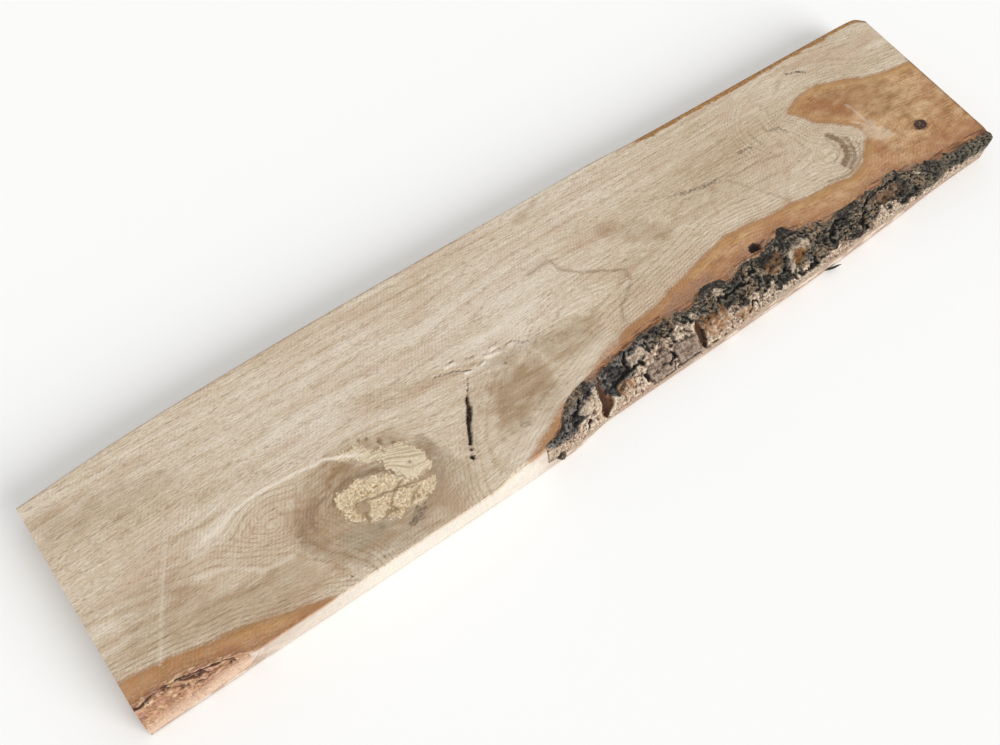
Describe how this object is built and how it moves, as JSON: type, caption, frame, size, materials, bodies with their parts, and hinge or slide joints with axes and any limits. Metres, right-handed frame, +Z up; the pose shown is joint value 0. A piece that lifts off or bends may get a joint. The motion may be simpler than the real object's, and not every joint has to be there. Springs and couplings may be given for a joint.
{
  "type": "oak bark-edge board",
  "caption": "Rough-sawn oak board with square-cut ends, a knot and a short heart crack, and bark left along part of one long edge.",
  "frame": {"origin": "centre of the overall box, on the sawn underside", "axes": "+X along the board to the end where the bark is, +Y across it to the edge without bark, +Z up out of the sawn top face"},
  "size_m": [0.75, 0.1732, 0.027],
  "materials": {
    "sawn_oak": "rough-sawn, unfinished",
    "oak_bark": "crumbly cork, matt",
    "oak_bast": "fibrous, matt"
  },
  "bodies": {
    "root": {"oak_board": "sawn_oak", "bark_strip": "oak_bark", "bark_corner": "oak_bast"}
  },
  "joints": []
}
